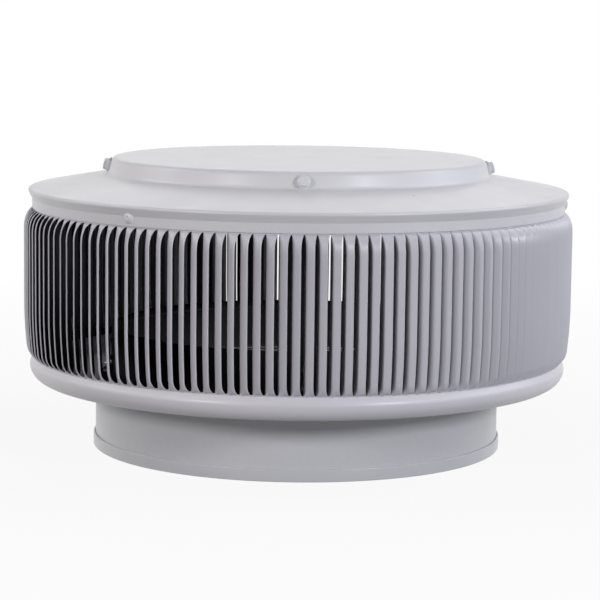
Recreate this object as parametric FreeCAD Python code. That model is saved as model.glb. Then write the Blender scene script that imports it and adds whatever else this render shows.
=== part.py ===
"""Static louvred roof vent cap with an adapter collar for a nominal 12 inch pipe.

Frame: millimetres, Z up along the axis of the vent, front towards -Y.
Origin: centre of the bottom face, in the plane of the collar's foot.
Angles are measured from the front, counter-clockwise seen from above.
"""
import FreeCAD
import Part
import math
import os

# Sheet and fits
sheet = 1.0
lap_gap = 0.3
hole_clearance = 0.1

# Collar that slips over the pipe
pipe_outer_diameter = 323.85
pipe_clearance = 0.575
collar_height = 53.0
collar_flange_margin = 2.0
collar_bend = 3.0
collar_lap_width = 20.0
foot_ring_height = 9.7
foot_ring_thickness = 1.5
foot_ring_round = 0.6

# Gasket and riveted joint between collar, pan and throat
gasket_thickness = 1.5
flange_rivet_count = 6

# Bottom pan
pan_corner_radius = 11.8
pan_bulge = 2.1
pan_lip_height = 18.5
pan_lip_lean = 5.0
pan_lip_bend = 4.0
weep_slot_count = 4
weep_slot_length = 24.0
weep_slot_width = 4.0
weep_slot_offset = 3.0
first_weep_slot_angle = -110.0

# Throat, the upstand that keeps rain out of the pipe
throat_step = 13.5
throat_height = 41.5
throat_flange_margin = 3.5
throat_bend = 2.5
hem_height = 6.0
hem_thickness = 2.2
hem_flat = 0.4

# Louvre ring
ring_radius = 213.1
louvre_count = 143
first_louvre_angle = -0.95
louvre_height = 117.6
lower_band_height = 7.0
upper_band_height = 14.4
lip_reveal = 1.0
louvre_throw = 8.0
louvre_dip = 0.3
louvre_swing = 3.4
louvre_bow = 2.2
louvre_head = 13.0
louvre_foot = 8.0
louvre_end_steps = 2
louvre_sink = 2.6
louvre_sink_height = 42.0
slit_width = 0.3
band_margin = 0.05
joint_plate_width = 24.0

# Top cap
skirt_reveal = 1.2
skirt_height = 7.3
brim_band_height = 7.6
brim_overhang = 4.0
brim_slope = 10.4
brim_corner_radius = 2.0
skirt_bend = 1.5
crown_height = 13.0
crown_draft = 14.0
crown_shoulder_radius = 5.0
crown_root_radius = 3.0

# Support straps between throat and crown
strap_count = 4
strap_width = 22.0
strap_thickness = 1.6
strap_foot_clearance = 3.0
strap_top_margin = 5.5
strap_lean_length = 15.0
first_strap_angle = 1.4

# Hex washer-head screws through the crown wall
screw_drop = 7.6
screw_diameter = 4.8
screw_length = 12.0
screw_hex_width = 8.0
screw_hex_height = 4.2
screw_flange_diameter = 10.4
screw_flange_thickness = 1.0
seal_diameter = 12.4
seal_thickness = 1.4

# Blind rivets
skirt_rivet_count = 3
first_skirt_rivet_angle = -35.6
skirt_rivet_rise = 6.2
skirt_rivet_head = 9.5
skirt_rivet_shank = 4.8
small_rivet_head = 6.5
small_rivet_shank = 3.2
rivet_head_ratio = 0.22
rivet_tail_ratio = 1.45
rivet_tail_length = 1.8
collar_rivet_count = 3
collar_rivet_countersink = 1.0
strap_rivet_pitch = 14.0
drill_overrun = 1.0

# Radii and levels that follow from the sizes above
collar_bore = pipe_outer_diameter / 2 + pipe_clearance
collar_radius = collar_bore + sheet
throat_radius = collar_bore - throat_step
throat_flange_radius = collar_radius - throat_flange_margin
flange_inner = throat_radius + collar_flange_margin
flange_rivet_radius = (flange_inner + throat_flange_radius) / 2
pan_bottom = collar_height + gasket_thickness
floor_top = pan_bottom + sheet
throat_top = floor_top + throat_height
lip_radius = ring_radius + lap_gap + sheet
pan_radius = lip_radius + pan_bulge
lip_top = pan_bottom + pan_lip_height
louvre_bottom = lip_top + lip_reveal
louvre_top = louvre_bottom + louvre_height
ring_bottom = louvre_bottom - lower_band_height
ring_top = louvre_top + upper_band_height
skirt_bottom = louvre_top + skirt_reveal
band_bottom = skirt_bottom + skirt_height
brim_level = band_bottom + brim_band_height
skirt_radius = ring_radius + lap_gap + sheet
brim_radius = skirt_radius + brim_overhang
strap_inner = throat_radius + lap_gap
strap_outer = strap_inner + strap_thickness
crown_radius = strap_outer + lap_gap + sheet
crown_slope = math.tan(math.radians(crown_draft))
brim_fall = math.tan(math.radians(brim_slope))
crown_foot_radius = crown_radius + (crown_height - screw_drop) * crown_slope
crown_top = brim_level + (brim_radius - crown_foot_radius) * brim_fall + crown_height
screw_level = crown_top - screw_drop
skirt_rivet_level = skirt_bottom + skirt_rivet_rise

# Sheets that each kind of rivet clamps
skirt_grip = 2 * sheet + lap_gap
flange_grip = 3 * sheet + gasket_thickness
strap_grip = strap_thickness + lap_gap + sheet
seam_grip = 2 * sheet

AXIS = FreeCAD.Vector(0, 0, 1)
CENTRE = FreeCAD.Vector(0, 0, 0)


def polar(radius, degrees, height):
    """Point at a radius and an angle from the front."""
    angle = math.radians(degrees)
    return FreeCAD.Vector(radius * math.sin(angle), -radius * math.cos(angle), height)


def outward(degrees, tilt=0.0):
    """Unit vector that points out of the vent at an angle, tilted up by some degrees."""
    flat = math.cos(math.radians(tilt))
    ray = polar(flat, degrees, math.sin(math.radians(tilt)))
    return ray


def rounded_path(corners):
    """Wire in the XZ plane through (radius, height, bend) corners, each bend a tangent arc."""
    points = [FreeCAD.Vector(radius, 0, height) for radius, height, bend in corners]
    edges = []
    start = points[0]
    for index in range(1, len(corners) - 1):
        corner = points[index]
        bend = corners[index][2]
        back = (points[index - 1] - corner).normalize()
        ahead = (points[index + 1] - corner).normalize()
        half = back.getAngle(ahead) / 2
        reach = bend / math.tan(half)
        middle = (back + ahead).normalize() * (bend / math.sin(half) - bend)
        first = corner + back * reach
        last = corner + ahead * reach
        edges.append(Part.LineSegment(start, first).toShape())
        edges.append(Part.Arc(first, corner + middle, last).toShape())
        start = last
    edges.append(Part.LineSegment(start, points[-1]).toShape())
    return Part.Wire(edges)


def spun_sheet(corners, side):
    """Sheet of revolution: the outside follows the corners, the thickness lies on one side."""
    outside = rounded_path(corners)
    section = outside.makeOffset2D(side * sheet, 2, True, True, False)
    return section.revolve(CENTRE, AXIS, 360)


def ring(inner, outer, low, high):
    """Plain flat-ended ring."""
    section = Part.makePolygon([
        FreeCAD.Vector(inner, 0, low),
        FreeCAD.Vector(outer, 0, low),
        FreeCAD.Vector(outer, 0, high),
        FreeCAD.Vector(inner, 0, high),
        FreeCAD.Vector(inner, 0, low),
    ])
    return Part.Face(section).revolve(CENTRE, AXIS, 360)


def sector(profile, width, radius, degrees):
    """Closed (radius, height) profile revolved over a short arc centred on an angle."""
    span = math.degrees(width / radius)
    points = [FreeCAD.Vector(r, 0, z) for r, z in profile]
    face = Part.Face(Part.makePolygon(points + points[:1]))
    solid = face.revolve(CENTRE, AXIS, span)
    solid.rotate(CENTRE, AXIS, degrees - 90 - span / 2)
    return solid


def rod(point, direction, diameter, start, end):
    """Cylinder along a direction, between two distances from a point."""
    return Part.makeCylinder(diameter / 2, end - start, point + direction * start, direction)


def rivet_hole(seat, direction, shank, grip):
    """Drill for a rivet, through all that it clamps."""
    return rod(seat, direction, shank + 2 * hole_clearance, -grip - drill_overrun, drill_overrun)


def round_copies(count, first=0.0):
    """Angles of equal steps round the vent."""
    return [first + 360.0 * index / count for index in range(count)]


def drilled(body, tools):
    """Body with all the tools cut out of it."""
    return body.cut(tools)


def domed_rivet(seat, direction, head, stem):
    """Rivet with a domed head on its seat, its stem given as (radius, depth) corners below the head."""
    rise = head * rivet_head_ratio
    dome = (head ** 2 / 4 + rise ** 2) / (2 * rise)
    turn = math.asin(head / 2 / dome) / 2
    crown = FreeCAD.Vector(0, 0, rise)
    shoulder = FreeCAD.Vector(dome * math.sin(turn), 0, rise - dome * (1 - math.cos(turn)))
    points = [FreeCAD.Vector(head / 2, 0, 0)] + [FreeCAD.Vector(radius, 0, -depth) for radius, depth in stem]
    edges = [Part.Arc(crown, shoulder, points[0]).toShape()]
    edges.extend(Part.LineSegment(start, end).toShape() for start, end in zip(points, points[1:] + [crown]))
    rivet = Part.Face(Part.Wire(edges)).revolve(CENTRE, AXIS, 360)
    rivet.Placement = FreeCAD.Placement(seat, FreeCAD.Rotation(AXIS, direction))
    return rivet


def blind_rivet(seat, direction, head, shank, grip):
    """Rivet with a swollen tail behind all that it clamps."""
    stem = [
        (shank / 2, 0),
        (shank / 2, grip),
        (shank * rivet_tail_ratio / 2, grip),
        (shank / 2, grip + rivet_tail_length),
        (0, grip + rivet_tail_length),
    ]
    return domed_rivet(seat, direction, head, stem)


def crown_wall(height):
    """Outer radius of the crown's sloping wall at a height."""
    return crown_radius + (screw_level - height) * crown_slope


def brim_height(radius):
    """Height of the brim's outer face at a radius."""
    return brim_level + (brim_radius - radius) * brim_fall


screw_seats = [polar(crown_radius, angle, screw_level)
               for angle in round_copies(strap_count, first_strap_angle)]
screw_rays = [outward(angle, crown_draft) for angle in round_copies(strap_count, first_strap_angle)]
skirt_rivet_seats = [polar(skirt_radius, angle, skirt_rivet_level)
                     for angle in round_copies(skirt_rivet_count, first_skirt_rivet_angle)]
skirt_rivet_rays = [outward(angle) for angle in round_copies(skirt_rivet_count, first_skirt_rivet_angle)]
flange_rivet_seats = [polar(flange_rivet_radius, angle, floor_top + sheet)
                      for angle in round_copies(flange_rivet_count, 180.0 / flange_rivet_count)]
seam_height = collar_height - foot_ring_height
collar_rivet_levels = [foot_ring_height + seam_height * (index + 0.5) / collar_rivet_count
                       for index in range(collar_rivet_count)]


def skirt_rivet_holes():
    """Drills for the rivets through skirt and ring."""
    return [rivet_hole(seat, ray, skirt_rivet_shank, skirt_grip)
            for seat, ray in zip(skirt_rivet_seats, skirt_rivet_rays)]


def screw_holes():
    """Drills for the screws through crown wall and strap tops."""
    size = screw_diameter + 2 * hole_clearance
    return [rod(seat, ray, size, -screw_length, drill_overrun) for seat, ray in zip(screw_seats, screw_rays)]


def flange_holes():
    """Drills for the rivets through throat flange, pan floor, gasket and collar flange."""
    return [rivet_hole(seat, AXIS, small_rivet_shank, flange_grip) for seat in flange_rivet_seats]


def strap_rivet_points():
    """Seats of the strap rivets, outside the straps and level with the throat wall."""
    middle = (floor_top + throat_bend + sheet + throat_top - hem_height) / 2
    levels = [middle - strap_rivet_pitch / 2, middle + strap_rivet_pitch / 2]
    return [(polar(strap_outer, angle, level), outward(angle))
            for angle in round_copies(strap_count, first_strap_angle) for level in levels]


def strap_rivet_holes():
    """Drills for the rivets through straps and throat wall."""
    return [rivet_hole(seat, ray, small_rivet_shank, strap_grip) for seat, ray in strap_rivet_points()]


def make_top_cap():
    """Crown, sloping brim and turned-down skirt, spun from one sheet."""
    corners = [
        (0.0, crown_top, 0.0),
        (crown_wall(crown_top), crown_top, crown_shoulder_radius),
        (crown_foot_radius, brim_height(crown_foot_radius), crown_root_radius),
        (brim_radius, brim_level, brim_corner_radius),
        (skirt_radius, band_bottom, skirt_bend),
        (skirt_radius, skirt_bottom, 0.0),
    ]
    cap = spun_sheet(corners, -1)
    return drilled(cap, screw_holes() + skirt_rivet_holes())


def louvre_section(height, opening):
    """Six corners of one slat's section: closed in the band, or swung out by its full throw.

    Towards its foot the whole slat sinks inwards, which gives the hoop its barrel shape.
    """
    below = max(0.0, louvre_bottom + louvre_sink_height - height) / louvre_sink_height
    base = ring_radius - band_margin * (1 - opening) - louvre_sink * below * opening
    inner_radius = base - louvre_dip * opening
    outer_radius = base + louvre_throw * opening
    pitch = 360.0 / louvre_count
    half_slit = math.degrees(slit_width / 2 / ring_radius)
    swing = math.degrees(louvre_swing / ring_radius) * opening
    heel = polar(inner_radius, half_slit, height)
    toe = polar(outer_radius, pitch - half_slit - swing, height)
    chord = toe - heel
    across = FreeCAD.Vector(chord.y, -chord.x, 0).normalize()
    sagitta = chord.Length ** 2 / (8 * ring_radius) + louvre_bow * opening
    knee = (heel + toe) * 0.5 + across * sagitta
    depth = across * (sheet - 2 * band_margin * (1 - opening))
    return [heel, knee, toe, toe - depth, knee - depth, heel - depth]


def facet(points):
    """Flat face through the points."""
    return Part.Face(Part.makePolygon(points + points[:1]))


def louvre_end(edge, length):
    """Sections of a slat's rounded end, from the closed root to the full throw, on a quarter ellipse."""
    turns = [math.pi / 2 * step / louvre_end_steps for step in range(louvre_end_steps + 1)]
    return [louvre_section(edge + length * (1 - math.cos(turn)), math.sin(turn)) for turn in turns]


def louvre_span(low, high, twisted):
    """Faces between two sections: flat strips, or pairs of triangles where the slat twists."""
    half = len(low) // 2
    faces = []
    for index in range(len(low)):
        after = (index + 1) % len(low)
        if not twisted:
            faces.append(facet([low[index], low[after], high[after], high[index]]))
        elif index < half:
            faces.append(facet([low[index], low[after], high[after]]))
            faces.append(facet([low[index], high[after], high[index]]))
        else:
            faces.append(facet([low[index], low[after], high[index]]))
            faces.append(facet([low[after], high[after], high[index]]))
    return faces


def louvre_faces():
    """Faces of one slat: a rounded foot, a sinking lower blade, a straight upper blade and a head."""
    foot = louvre_end(louvre_bottom, louvre_foot)
    bend = louvre_section(louvre_bottom + louvre_sink_height, 1.0)
    head = louvre_end(louvre_top, -louvre_head)
    head.reverse()
    faces = louvre_span(bend, head[0], False)
    lower = foot + [bend]
    for low, high in list(zip(lower, lower[1:])) + list(zip(head, head[1:])):
        faces.extend(louvre_span(low, high, True))
    return faces


def turned(shape, degrees):
    """Copy of a shape turned about the vent's axis."""
    copy = shape.copy()
    copy.rotate(CENTRE, AXIS, degrees)
    return copy


def slotted_annulus(height):
    """Edge of a plain band, open where the slats run out of it."""
    inner = Part.Wire(Part.Circle(FreeCAD.Vector(0, 0, height), AXIS, ring_radius - sheet).toShape())
    outer = Part.Wire(Part.Circle(FreeCAD.Vector(0, 0, height), AXIS, ring_radius).toShape())
    root = louvre_section(height, 0.0)
    outline = Part.makePolygon(root + root[:1])
    roots = [turned(outline, angle) for angle in round_copies(louvre_count, first_louvre_angle)]
    return Part.Face([outer, inner] + roots, "Part::FaceMakerBullseye")


def band_faces(edge, far):
    """Skin of a plain band between its slatted edge and its free edge."""
    band = ring(ring_radius - sheet, ring_radius, min(edge, far), max(edge, far))
    walls = drilled(band, skirt_rivet_holes())
    kept = [face for face in walls.Faces if abs(face.CenterOfMass.z - edge) > band_margin]
    return kept + [slotted_annulus(edge)]


def make_louver_ring():
    """One sheet hoop whose wall is lanced into slats that swing out on one side."""
    slat = Part.Compound(louvre_faces())
    faces = []
    for angle in round_copies(louvre_count, first_louvre_angle):
        faces.extend(turned(slat, angle).Faces)
    faces.extend(band_faces(louvre_bottom, ring_bottom))
    faces.extend(band_faces(louvre_top, ring_top))
    shell = Part.makeShell(faces)
    shell.sewShape()
    return Part.Solid(shell)


def make_bottom_pan():
    """Bulging pan whose lip leans in on the ring, with weep slots in its floor outside the collar."""
    corners = [
        (lip_radius, lip_top, 0.0),
        (pan_radius, lip_top - pan_lip_lean, pan_lip_bend),
        (pan_radius, pan_bottom, pan_corner_radius),
        (throat_radius + lap_gap, pan_bottom, 0.0),
    ]
    pan = spun_sheet(corners, -1)
    near = collar_radius + weep_slot_offset
    far = near + weep_slot_width
    profile = [
        (near, pan_bottom - sheet),
        (far, pan_bottom - sheet),
        (far, floor_top + sheet),
        (near, floor_top + sheet),
    ]
    slots = [sector(profile, weep_slot_length, near, angle)
             for angle in round_copies(weep_slot_count, first_weep_slot_angle)]
    return drilled(pan, slots + flange_holes())


def make_throat():
    """Upstand with a riveted foot flange and a hemmed rim."""
    corners = [
        (throat_flange_radius, floor_top, 0.0),
        (throat_radius - sheet, floor_top, throat_bend),
        (throat_radius - sheet, throat_top - hem_thickness / 2, 0.0),
    ]
    wall = spun_sheet(corners, -1)
    hem = ring(throat_radius - hem_thickness, throat_radius, throat_top - hem_height, throat_top)
    rims = [edge for edge in hem.Edges if abs(edge.BoundBox.ZMin - throat_top) < lap_gap]
    circles = [edge for edge in rims if edge.Length > throat_radius]
    hem = hem.makeFillet((hem_thickness - hem_flat) / 2, circles)
    throat = wall.fuse(hem).removeSplitter()
    return drilled(throat, flange_holes() + strap_rivet_holes())


def make_adapter_collar():
    """Collar that slips over the pipe, with an inward top flange and a lapped back seam."""
    corners = [
        (collar_radius, 0.0, 0.0),
        (collar_radius, collar_height, collar_bend),
        (flange_inner, collar_height, 0.0),
    ]
    collar = spun_sheet(corners, 1)
    lap = sector(collar_lap_profile(), collar_lap_width, collar_radius, 180.0)
    return drilled(collar.fuse(lap), flange_holes() + collar_rivet_holes())


def collar_lap_profile():
    """Section of the overlap that closes the collar's sheet at the back."""
    low = foot_ring_height + lap_gap
    high = collar_height - collar_bend
    outer = collar_radius + sheet
    return [(collar_radius, low), (outer, low), (outer, high), (collar_radius, high)]


def collar_rivet_points():
    """Seats of the rivets on the collar's back seam."""
    return [polar(collar_radius + sheet, 180.0, level) for level in collar_rivet_levels]


def collar_rivet_holes():
    """Countersunk drills for the rivets through the collar's back seam."""
    ray = outward(180.0)
    neck = small_rivet_shank / 2 + hole_clearance
    depth = sheet + drill_overrun
    mouth = neck + collar_rivet_countersink * depth / sheet
    sinks = [Part.makeCone(neck, mouth, depth, seat - ray * sheet, ray * -1) for seat in collar_rivet_points()]
    return sinks + [rivet_hole(seat, ray, small_rivet_shank, seam_grip) for seat in collar_rivet_points()]


def make_foot_ring():
    """Stiffening band round the collar's foot."""
    inner = collar_radius + lap_gap
    outer = inner + foot_ring_thickness
    band = ring(inner, outer, 0.0, foot_ring_height)
    rims = [edge for edge in band.Edges if edge.Length > 2 * math.pi * (outer - foot_ring_round)]
    return band.makeFillet(foot_ring_round, rims)


def make_flange_gasket():
    """Flat seal between the collar's flange and the pan's floor."""
    seal = ring(flange_inner, collar_radius - collar_bend, collar_height, pan_bottom)
    return drilled(seal, flange_holes())


def make_strap(angle):
    """Upright strap from the throat to the crown, its top bent to lie against the crown wall."""
    foot = floor_top + sheet + throat_bend + strap_foot_clearance
    top = screw_level + strap_top_margin
    knee = top - strap_lean_length / 2
    bend = knee - strap_lean_length / 2
    reach = sheet / math.cos(math.radians(crown_draft)) + lap_gap
    outer = [
        (strap_outer, foot),
        (strap_outer, bend),
        (crown_wall(knee) - reach, knee),
        (crown_wall(top) - reach, top),
    ]
    inner = [(radius - strap_thickness, height) for radius, height in reversed(outer)]
    strap = sector(outer + inner, strap_width, strap_outer, angle)
    return drilled(strap, screw_holes() + strap_rivet_holes())


def make_joint_plate(low, high):
    """Small plate behind a plain band, where the ends of the ring's strip meet at the back."""
    outer = ring_radius - sheet - lap_gap
    inner = outer - sheet
    profile = [(inner, low), (outer, low), (outer, high), (inner, high)]
    return sector(profile, joint_plate_width, outer, 180.0)


def make_screws():
    """Hex washer-head screws through the crown wall into the straps."""
    screws = []
    for angle, seat, ray in zip(round_copies(strap_count, first_strap_angle), screw_seats, screw_rays):
        base = seat + ray * seal_thickness
        shank = rod(base, ray, screw_diameter, -screw_length, screw_flange_thickness)
        flange = rod(base, ray, screw_flange_diameter, 0, screw_flange_thickness)
        corner = screw_hex_width / 2 / math.cos(math.pi / 6)
        points = [FreeCAD.Vector(corner * math.cos(turn), corner * math.sin(turn), 0)
                  for turn in [math.pi / 3 * step for step in range(6)]]
        head = facet(points).extrude(AXIS * screw_hex_height)
        head.Placement = FreeCAD.Placement(base, FreeCAD.Rotation(AXIS, ray))
        screws.append(head.fuse([flange, shank]).removeSplitter())
    return Part.Compound(screws)


def make_seals():
    """Sealing washers under the screw heads."""
    seals = []
    for seat, ray in zip(screw_seats, screw_rays):
        disc = rod(seat, ray, seal_diameter, 0, seal_thickness)
        bore = rod(seat, ray, screw_diameter + 2 * hole_clearance, 0, seal_thickness)
        seals.append(disc.cut(bore))
    return Part.Compound(seals)


def make_skirt_rivets():
    """Blind rivets that hold the skirt to the ring."""
    return Part.Compound([blind_rivet(seat, ray, skirt_rivet_head, skirt_rivet_shank, skirt_grip)
                          for seat, ray in zip(skirt_rivet_seats, skirt_rivet_rays)])


def make_flange_rivets():
    """Blind rivets that hold throat, pan, gasket and collar together."""
    return Part.Compound([blind_rivet(seat, AXIS, small_rivet_head, small_rivet_shank, flange_grip)
                          for seat in flange_rivet_seats])


def make_strap_rivets():
    """Blind rivets that hold the straps to the throat."""
    return Part.Compound([blind_rivet(seat, ray, small_rivet_head, small_rivet_shank, strap_grip)
                          for seat, ray in strap_rivet_points()])


def make_collar_rivets():
    """Rivets that close the collar's back seam, countersunk flush inside so that the pipe passes."""
    neck = small_rivet_shank / 2
    stem = [
        (neck, 0),
        (neck, sheet),
        (neck + collar_rivet_countersink, seam_grip),
        (0, seam_grip),
    ]
    return Part.Compound([domed_rivet(seat, outward(180.0), small_rivet_head, stem)
                          for seat in collar_rivet_points()])


def make_parts():
    """All pieces by name."""
    parts = {
        "top_cap": make_top_cap(),
        "crown_screws": make_screws(),
        "crown_screw_seals": make_seals(),
        "skirt_rivets": make_skirt_rivets(),
        "louver_ring": make_louver_ring(),
        "ring_joint_plate_upper": make_joint_plate(louvre_top, ring_top),
        "ring_joint_plate_lower": make_joint_plate(ring_bottom, louvre_bottom),
        "bottom_pan": make_bottom_pan(),
        "throat": make_throat(),
        "strap_rivets": make_strap_rivets(),
        "flange_rivets": make_flange_rivets(),
        "flange_gasket": make_flange_gasket(),
        "adapter_collar": make_adapter_collar(),
        "collar_seam_rivets": make_collar_rivets(),
        "foot_ring": make_foot_ring(),
    }
    sides = ("front", "right", "back", "left")
    for side, angle in zip(sides, round_copies(strap_count, first_strap_angle)):
        parts["strap_" + side] = make_strap(angle)
    return parts


os.makedirs("parts", exist_ok=True)
for name, shape in make_parts().items():
    shape.exportStep("parts/" + name + ".step")
    print(name, len(shape.Solids), round(shape.Volume, 1), shape.isValid())
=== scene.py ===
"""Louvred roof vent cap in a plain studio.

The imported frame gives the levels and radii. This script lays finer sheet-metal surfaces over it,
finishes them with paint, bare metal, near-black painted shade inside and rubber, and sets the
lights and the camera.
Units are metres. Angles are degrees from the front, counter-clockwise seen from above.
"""

import logging
import math
import random
from dataclasses import dataclass
from enum import Enum
from typing import Optional, Sequence

import bmesh
import bpy
from bpy.types import Material, Mesh, Node, NodeSocket, NodeTree, Object
from mathutils import Matrix, Vector


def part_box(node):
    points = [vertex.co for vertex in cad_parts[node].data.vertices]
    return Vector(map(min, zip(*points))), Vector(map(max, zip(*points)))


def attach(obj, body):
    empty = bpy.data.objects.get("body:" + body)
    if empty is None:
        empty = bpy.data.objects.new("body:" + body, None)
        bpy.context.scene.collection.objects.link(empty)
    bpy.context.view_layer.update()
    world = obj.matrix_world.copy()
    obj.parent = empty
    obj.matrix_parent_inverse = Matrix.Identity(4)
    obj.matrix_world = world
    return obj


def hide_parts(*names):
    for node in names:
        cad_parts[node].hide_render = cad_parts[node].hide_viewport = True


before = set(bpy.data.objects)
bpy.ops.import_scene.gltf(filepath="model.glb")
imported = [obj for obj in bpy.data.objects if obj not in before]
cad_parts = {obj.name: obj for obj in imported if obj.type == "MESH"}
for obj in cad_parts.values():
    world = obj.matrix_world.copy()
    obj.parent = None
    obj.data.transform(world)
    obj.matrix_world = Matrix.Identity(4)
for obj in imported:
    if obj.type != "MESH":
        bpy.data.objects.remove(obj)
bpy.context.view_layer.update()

LOG = logging.getLogger("roof_vent")
MM = 0.001
SHEET = 1.0 * MM
BODY = "root"
UP = Vector((0.0, 0.0, 1.0))
WELD = 0.002 * MM
SLIVER = 0.001 * MM
STRAIGHT = 0.001

FLOAT = "NodeSocketFloat"
VECTOR = "NodeSocketVector"
COLOUR = "NodeSocketColor"

Colour = tuple[float, float, float]
Place = tuple[float, float, float]
Point = tuple[float, float]
Sockets = dict[str, NodeSocket]


class SheetSide(Enum):
    """Side of an outline on which the sheet's thickness lies, seen along the outline."""

    LEFT = 1
    RIGHT = -1


@dataclass(frozen=True)
class Corner:
    """Corner of a spun sheet's outline, with the radius of its bend."""

    radius: float
    height: float
    bend: float = 0.0


@dataclass(frozen=True)
class NodeSpan:
    """Outer radius and levels of one frame node."""

    radius: float
    low: float
    high: float

    @classmethod
    def of(cls, node: str) -> "NodeSpan":
        """Measure a node's reach along +X and its lowest and highest level."""
        low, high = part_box(node)
        return cls(radius=high[0], low=low[2], high=high[2])


def polar(radius: float, degrees: float, height: float) -> Vector:
    """Point at a radius and an angle from the front."""
    angle = math.radians(degrees)
    return Vector((radius * math.sin(angle), -radius * math.cos(angle), height))


def round_copies(count: int, first: float) -> list[float]:
    """Angles of equal steps round the vent."""
    return [first + 360.0 * index / count for index in range(count)]


def quarter_round(share: float) -> float:
    """Height of a quarter circle at a share of its width, held at both ends."""
    share = min(max(share, 0.0), 1.0)
    return math.sqrt(1 - (1 - share) ** 2)


def eased(reach: float, steps: int) -> list[float]:
    """Distances from 0 to a reach, close together at the start."""
    return [reach * (1 - math.cos(math.pi / 2 * step / steps)) for step in range(steps + 1)]


def rounded(corners: Sequence[Corner], steps: int = 8) -> list[Vector]:
    """Outline through the corners with each bend as an arc.

    Args:
        corners: corners in order.
        steps: spans in each arc.

    Returns:
        Points as (radius, height) vectors.
    """
    points = [Vector((corner.radius, corner.height)) for corner in corners]
    outline = [points[0]]
    for index in range(1, len(corners) - 1):
        corner = points[index]
        bend = corners[index].bend
        back = (points[index - 1] - corner).normalized()
        ahead = (points[index + 1] - corner).normalized()
        half = back.angle(ahead) / 2
        if bend <= 0.0 or math.pi / 2 - half < STRAIGHT:
            outline.append(corner)
            continue
        reach = bend / math.tan(half)
        centre = corner + (back + ahead).normalized() * (bend / math.sin(half))
        start = corner + back * reach - centre
        turn = (corner + ahead * reach - centre).angle_signed(start)
        for step in range(steps + 1):
            outline.append(centre + Matrix.Rotation(turn * step / steps, 2) @ start)
    outline.append(points[-1])
    return outline


def shifted(corners: Sequence[Corner], side: SheetSide) -> list[Corner]:
    """Corners of the sheet's other face.

    Args:
        corners: corners of one face.
        side: side on which the other face lies.

    Returns:
        Corners of the other face, with bends to match.
    """
    points = [Vector((corner.radius, corner.height)) for corner in corners]
    runs = [(after - before).normalized() for before, after in zip(points, points[1:])]
    normals = [Vector((-run.y, run.x)) * side.value for run in runs]
    moved = [Corner(*(points[0] + normals[0] * SHEET))]
    for index in range(1, len(points) - 1):
        middle = (normals[index - 1] + normals[index]).normalized()
        length = SHEET / middle.dot(normals[index])
        turn = side.value * math.copysign(1.0, runs[index - 1].cross(runs[index]))
        bend = corners[index].bend
        if bend > 0.0:
            bend = max(bend - SHEET * turn, 0.0)
        moved.append(Corner(*(points[index] + middle * length), bend))
    moved.append(Corner(*(points[-1] + normals[-1] * SHEET)))
    return moved


def sheet_section(corners: Sequence[Corner], side: SheetSide) -> list[Vector]:
    """Closed section of a bent sheet: one face out, the other face back."""
    return rounded(corners) + list(reversed(rounded(shifted(corners, side))))


def finish_mesh(mesh: Mesh, crease: float = 32.0) -> None:
    """Smooth shading with creases at sharp edges."""
    mesh.shade_smooth()
    mesh.set_sharp_from_angle(angle=math.radians(crease))


def store_mesh(work: bmesh.types.BMesh, mesh: Mesh) -> None:
    """Turn the faces outwards and store edited geometry.

    Args:
        work: edited geometry, freed here.
        mesh: mesh to store it in.
    """
    bmesh.ops.recalc_face_normals(work, faces=work.faces)
    work.to_mesh(mesh)
    work.free()


def ring_mesh(name: str, rings: Sequence[Sequence[Vector]], closed: bool = True) -> Mesh:
    """Skin over equal rings that stand round an axis.

    Args:
        name: name of the mesh.
        rings: rows of points; each row is joined to the next and the last to the first.
        closed: whether a row's last point is joined to its first.

    Returns:
        A mesh without doubled points, slivers or inward faces.
    """
    count = len(rings[0])
    faces = []
    for step in range(len(rings)):
        here = step * count
        there = (step + 1) % len(rings) * count
        for index in range(count if closed else count - 1):
            after = (index + 1) % count
            faces.append((here + index, here + after, there + after, there + index))
    mesh = bpy.data.meshes.new(name)
    mesh.from_pydata([point for ring in rings for point in ring], [], faces)
    work = bmesh.new()
    work.from_mesh(mesh)
    bmesh.ops.remove_doubles(work, verts=work.verts, dist=WELD)
    bmesh.ops.dissolve_degenerate(work, edges=work.edges, dist=SLIVER)
    store_mesh(work, mesh)
    finish_mesh(mesh)
    return mesh


def spun_mesh(name: str, section: Sequence[Vector], segments: int) -> Mesh:
    """Closed section turned round the Z axis."""
    turns = round_copies(segments, 0.0)
    return ring_mesh(name, [[polar(point[0], turn, point[1]) for point in section]
                            for turn in turns])


def seat_mesh(mesh: Mesh, seat: Vector, direction: Vector) -> None:
    """Turn a mesh made along Z to a direction and move it to its seat."""
    turn = UP.rotation_difference(direction).to_matrix().to_4x4()
    mesh.transform(Matrix.Translation(seat) @ turn)


def put(name: str, data: object) -> Object:
    """Put an object in the scene.

    Args:
        name: name of the object.
        data: its mesh, lamp or camera.

    Returns:
        The new object.
    """
    thing = bpy.data.objects.new(name, data)
    bpy.context.scene.collection.objects.link(thing)
    return thing


def add_piece(mesh: Mesh, materials: Sequence[Material], slot: str, *nodes: str) -> Object:
    """Put a mesh in the scene as a piece of the vent.

    Args:
        mesh: final mesh; the piece takes its name.
        materials: one material for each index that the faces use.
        slot: the record's material slot; not used.
        nodes: frame nodes that the piece stands for.

    Returns:
        The new object.
    """
    piece = put(mesh.name, mesh)
    for material in materials:
        mesh.materials.append(material)
    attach(piece, BODY)
    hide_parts(*nodes)
    LOG.info("%s: %d faces", piece.name, len(mesh.polygons))
    return piece


def dress_nodes(material: Material, *nodes: str) -> None:
    """Give frame nodes that stay visible their material.

    Args:
        material: material for all of them.
        nodes: names of the frame nodes.
    """
    for node in nodes:
        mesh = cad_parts[node].data
        mesh.materials.clear()
        mesh.materials.append(material)
        LOG.info("%s: dressed with %s", node, material.name)


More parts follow.
